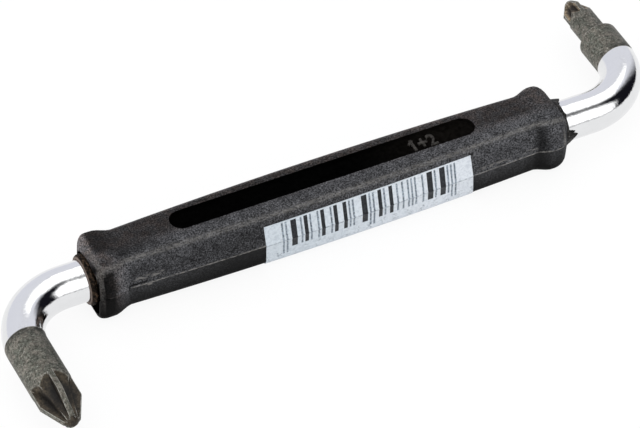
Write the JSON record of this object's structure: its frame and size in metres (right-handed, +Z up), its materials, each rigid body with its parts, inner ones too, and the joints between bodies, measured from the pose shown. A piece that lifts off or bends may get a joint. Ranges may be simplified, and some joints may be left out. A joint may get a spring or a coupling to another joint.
{
  "type": "offset screwdriver",
  "caption": "Flat Z-shaped offset screwdriver: a round cranked steel bar with a cross point ground on each end and a moulded plastic handle round its middle.",
  "frame": {"origin": "centre of the tool's outline, at the level of the surface that its collars lie on", "axes": "+X along the straight bar towards the small point, +Y the way the small point's leg turns, +Z up out of the recessed face of the handle"},
  "size_m": [0.105, 0.0472, 0.01],
  "materials": {
    "plated_bar": "bright chrome plating",
    "bare_steel": "dark phosphated steel, worn bright along its ground edges",
    "handle_plastic": "fine spark texture, satin",
    "label_paper": "coated paper, printed"
  },
  "bodies": {
    "root": {"shaft": "plated_bar", "pz2_blade": "bare_steel", "pz1_blade": "bare_steel", "grip": "handle_plastic", "barcode_label": "label_paper"}
  },
  "joints": []
}
